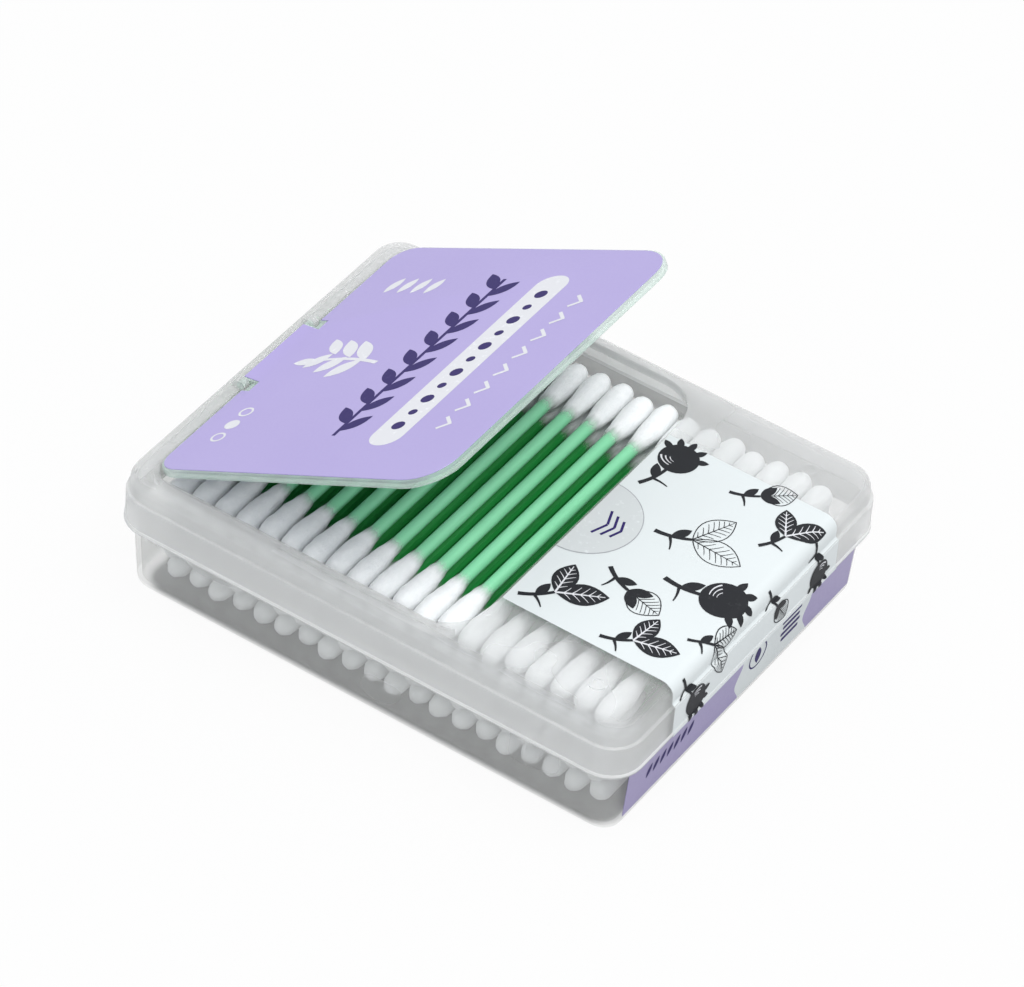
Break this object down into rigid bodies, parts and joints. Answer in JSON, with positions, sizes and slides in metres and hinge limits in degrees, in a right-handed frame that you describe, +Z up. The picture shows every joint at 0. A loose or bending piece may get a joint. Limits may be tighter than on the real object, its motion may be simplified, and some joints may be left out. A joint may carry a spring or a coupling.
{
  "type": "cotton swab box",
  "caption": "Flat rectangular flip-top box of frosted plastic, packed with double-ended cotton swabs on coloured stems; the flap in the top hinges open.",
  "frame": {"origin": "centre of the box's underside, on the surface it rests on", "axes": "+Z up; +X along the box towards the end with the folded label; the flap is hinged at the -X end; the swabs lie along Y"},
  "size_m": [0.1088, 0.0862, 0.0578],
  "materials": {
    "frosted_plastic": "frosted, translucent",
    "lilac_label": "satin printed",
    "white_label": "satin printed",
    "green_stem": "satin",
    "cotton": "soft, matt"
  },
  "bodies": {
    "box": {"base_tray": "frosted_plastic", "cover": "frosted_plastic", "front_label": "white_label", "layer_1_stems": "green_stem", "layer_1_cotton": "cotton", "layer_2_stems": "green_stem", "layer_2_cotton": "cotton", "layer_3_stems": "green_stem", "layer_3_cotton": "cotton", "layer_4_stems": "green_stem", "layer_4_cotton": "cotton", "swab_01_stem": "green_stem", "swab_01_cotton": "cotton", "swab_02_stem": "green_stem", "swab_02_cotton": "cotton", "swab_03_stem": "green_stem", "swab_03_cotton": "cotton", "swab_04_stem": "green_stem", "swab_04_cotton": "cotton", "swab_05_stem": "green_stem", "swab_05_cotton": "cotton", "swab_06_stem": "green_stem", "swab_06_cotton": "cotton", "swab_07_stem": "green_stem", "swab_07_cotton": "cotton", "swab_08_stem": "green_stem", "swab_08_cotton": "cotton", "swab_09_stem": "green_stem", "swab_09_cotton": "cotton", "swab_10_stem": "green_stem", "swab_10_cotton": "cotton", "swab_11_stem": "green_stem", "swab_11_cotton": "cotton", "swab_12_stem": "green_stem", "swab_12_cotton": "cotton", "swab_13_stem": "green_stem", "swab_13_cotton": "cotton", "swab_14_stem": "green_stem", "swab_14_cotton": "cotton", "swab_15_stem": "green_stem", "swab_15_cotton": "cotton", "swab_16_stem": "green_stem", "swab_16_cotton": "cotton", "swab_17_stem": "green_stem", "swab_17_cotton": "cotton", "swab_18_stem": "green_stem", "swab_18_cotton": "cotton", "swab_19_stem": "green_stem", "swab_19_cotton": "cotton", "swab_20_stem": "green_stem", "swab_20_cotton": "cotton"},
    "flap": {"flap": "frosted_plastic", "flap_label": "lilac_label"}
  },
  "joints": [
    {"name": "flap_hinge", "type": "hinge", "parent": "box", "child": "flap", "pos_m": [-0.04966, 0, 0.02729], "axis": [0, -1, 0], "range_deg": [-27.5, 85]}
  ]
}
